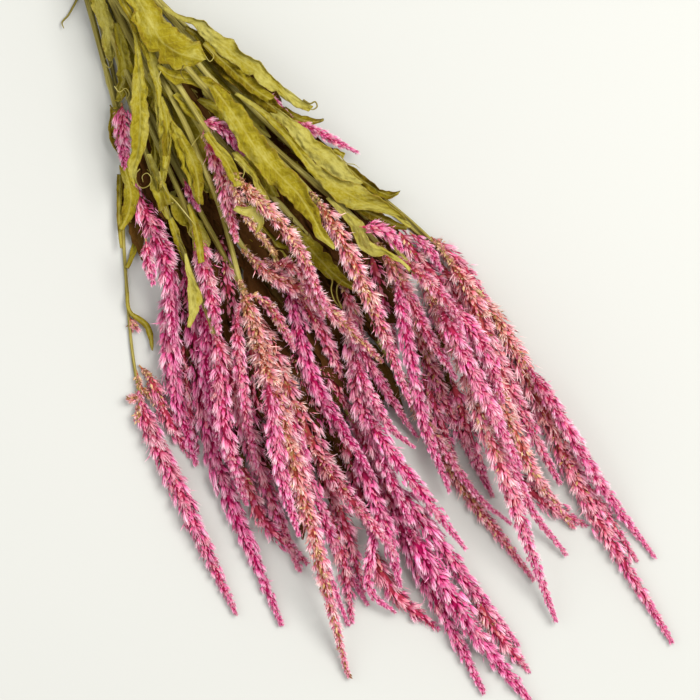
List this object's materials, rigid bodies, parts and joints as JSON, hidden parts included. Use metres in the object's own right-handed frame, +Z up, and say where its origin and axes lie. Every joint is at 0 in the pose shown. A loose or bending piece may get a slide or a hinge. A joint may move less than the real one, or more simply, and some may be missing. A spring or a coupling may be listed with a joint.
{
  "type": "dried plume celosia bunch",
  "caption": "Bunch of dried plume celosia lying flat: long pink feathery spikes on bare and leafy stems, gathered by a rubber band near their cut ends.",
  "frame": {"origin": "centre of the bounding box in plan, at the surface that the bunch lies on", "axes": "+X along the bunch from the cut stem ends towards the plume tips, +Z up from the surface"},
  "size_m": [0.6508, 0.2286, 0.0639],
  "materials": {
    "florets": "papery, matte",
    "foliage": "dry, matte",
    "band": "matte"
  },
  "bodies": {
    "root": {"head_01": "florets", "head_02": "florets", "head_03": "florets", "head_04": "florets", "head_05": "florets", "head_06": "florets", "head_07": "florets", "head_08": "florets", "head_09": "florets", "head_10": "florets", "head_11": "florets", "head_12": "florets", "head_13": "florets", "head_14": "florets", "head_15": "florets", "head_16": "florets", "head_17": "florets", "head_18": "florets", "head_19": "florets", "leafy_stem_01": "foliage", "leafy_stem_02": "foliage", "leafy_stem_03": "foliage", "leafy_stem_04": "foliage", "leafy_stem_05": "foliage", "leafy_stem_06": "foliage", "leafy_stem_07": "foliage", "leafy_stem_08": "foliage", "leafy_stem_09": "foliage", "leafy_stem_10": "foliage", "leafy_stem_11": "foliage", "leafy_stem_12": "foliage", "leafy_stem_13": "foliage", "leafy_stem_14": "foliage", "leafy_stem_15": "foliage", "leafy_stem_16": "foliage", "leafy_stem_17": "foliage", "leafy_stem_18": "foliage", "leafy_stem_19": "foliage", "side_spike_1": "florets", "side_spike_2": "florets", "side_spike_3": "florets", "side_spike_4": "florets", "side_spike_5": "florets", "side_spike_6": "florets", "side_spike_7": "florets", "side_spike_8": "florets", "side_spike_9": "florets", "rubber_band": "band"}
  },
  "joints": []
}
